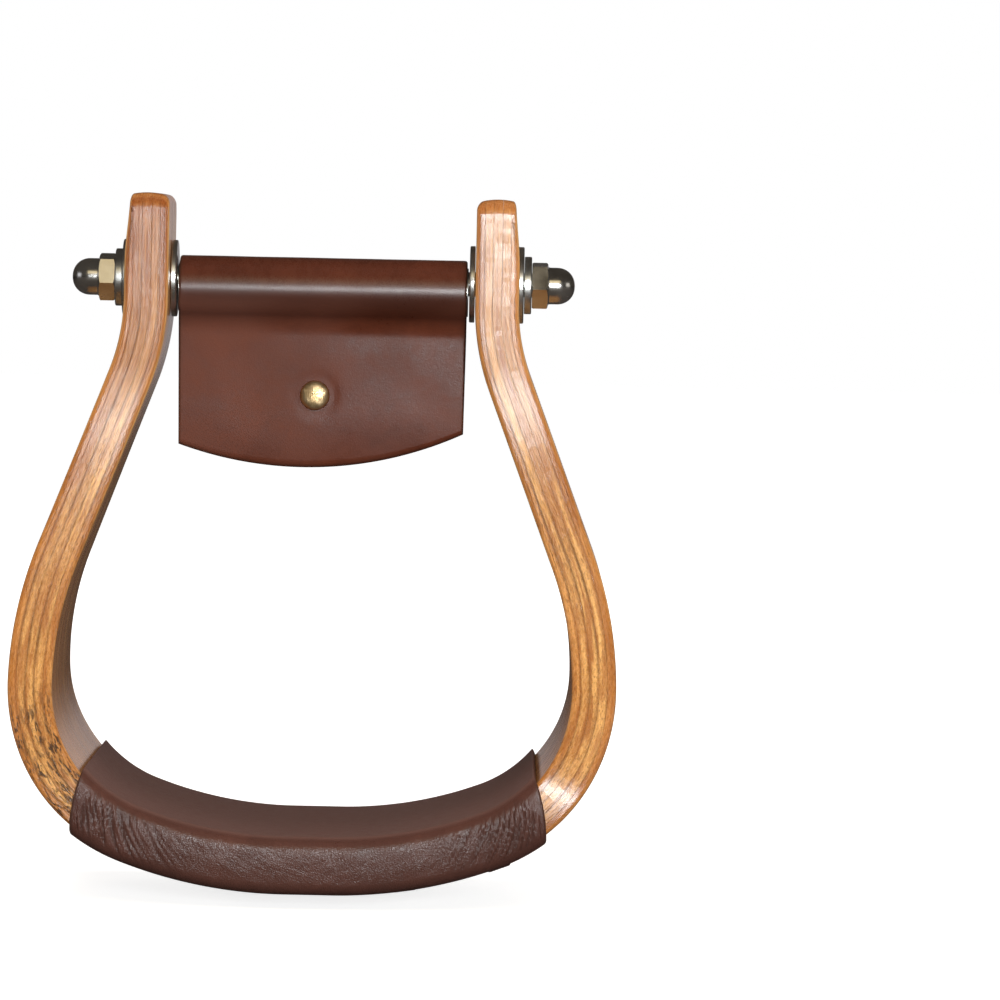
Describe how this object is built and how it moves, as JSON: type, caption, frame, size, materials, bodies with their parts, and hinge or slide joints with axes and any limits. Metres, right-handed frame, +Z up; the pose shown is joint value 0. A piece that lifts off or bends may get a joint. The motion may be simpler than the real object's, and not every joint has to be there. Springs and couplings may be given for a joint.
{
  "type": "western stirrup",
  "caption": "Bell-bottom riding stirrup: bent laminated wood bow, laced leather tread cover, cross bolt with cap nuts and a turning roller in a riveted leather flap cover.",
  "frame": {"origin": "middle of the cross bolt, on its axis, where the stirrup leather turns round the roller", "axes": "+X along the cross bolt, +Y to the far side of the stirrup, +Z up towards the saddle"},
  "size_m": [0.1562, 0.1018, 0.1825],
  "materials": {
    "face_veneer": "gloss varnish",
    "core_veneer": "gloss varnish",
    "zinc_steel": "zinc plated",
    "chromed_steel": "polished",
    "flap_leather": "oiled, reddish brown",
    "tread_leather": "dark brown, smooth",
    "lace_leather": "dark brown, smooth",
    "rivet_brass": "polished"
  },
  "bodies": {
    "bow": {"outer_face_ply": "face_veneer", "outer_core_ply": "core_veneer", "middle_core_ply": "core_veneer", "inner_core_ply": "core_veneer", "inner_face_ply": "face_veneer", "cross_bolt": "zinc_steel", "cap_nut_left": "chromed_steel", "cap_nut_right": "chromed_steel", "small_washer_left": "zinc_steel", "small_washer_right": "zinc_steel", "outer_washer_left": "zinc_steel", "outer_washer_right": "zinc_steel", "inner_washer_left": "zinc_steel", "inner_washer_right": "zinc_steel", "tread_cover": "tread_leather", "tread_lace": "lace_leather"},
    "roller": {"roller_tube": "zinc_steel", "roller_cover": "flap_leather", "flap_rivet": "rivet_brass", "rivet_burr": "rivet_brass"}
  },
  "joints": [
    {"name": "roller_spin", "type": "hinge", "parent": "bow", "child": "roller", "pos_m": [0, 0, -0.0022], "axis": [1, 0, 0], "continuous": true}
  ]
}
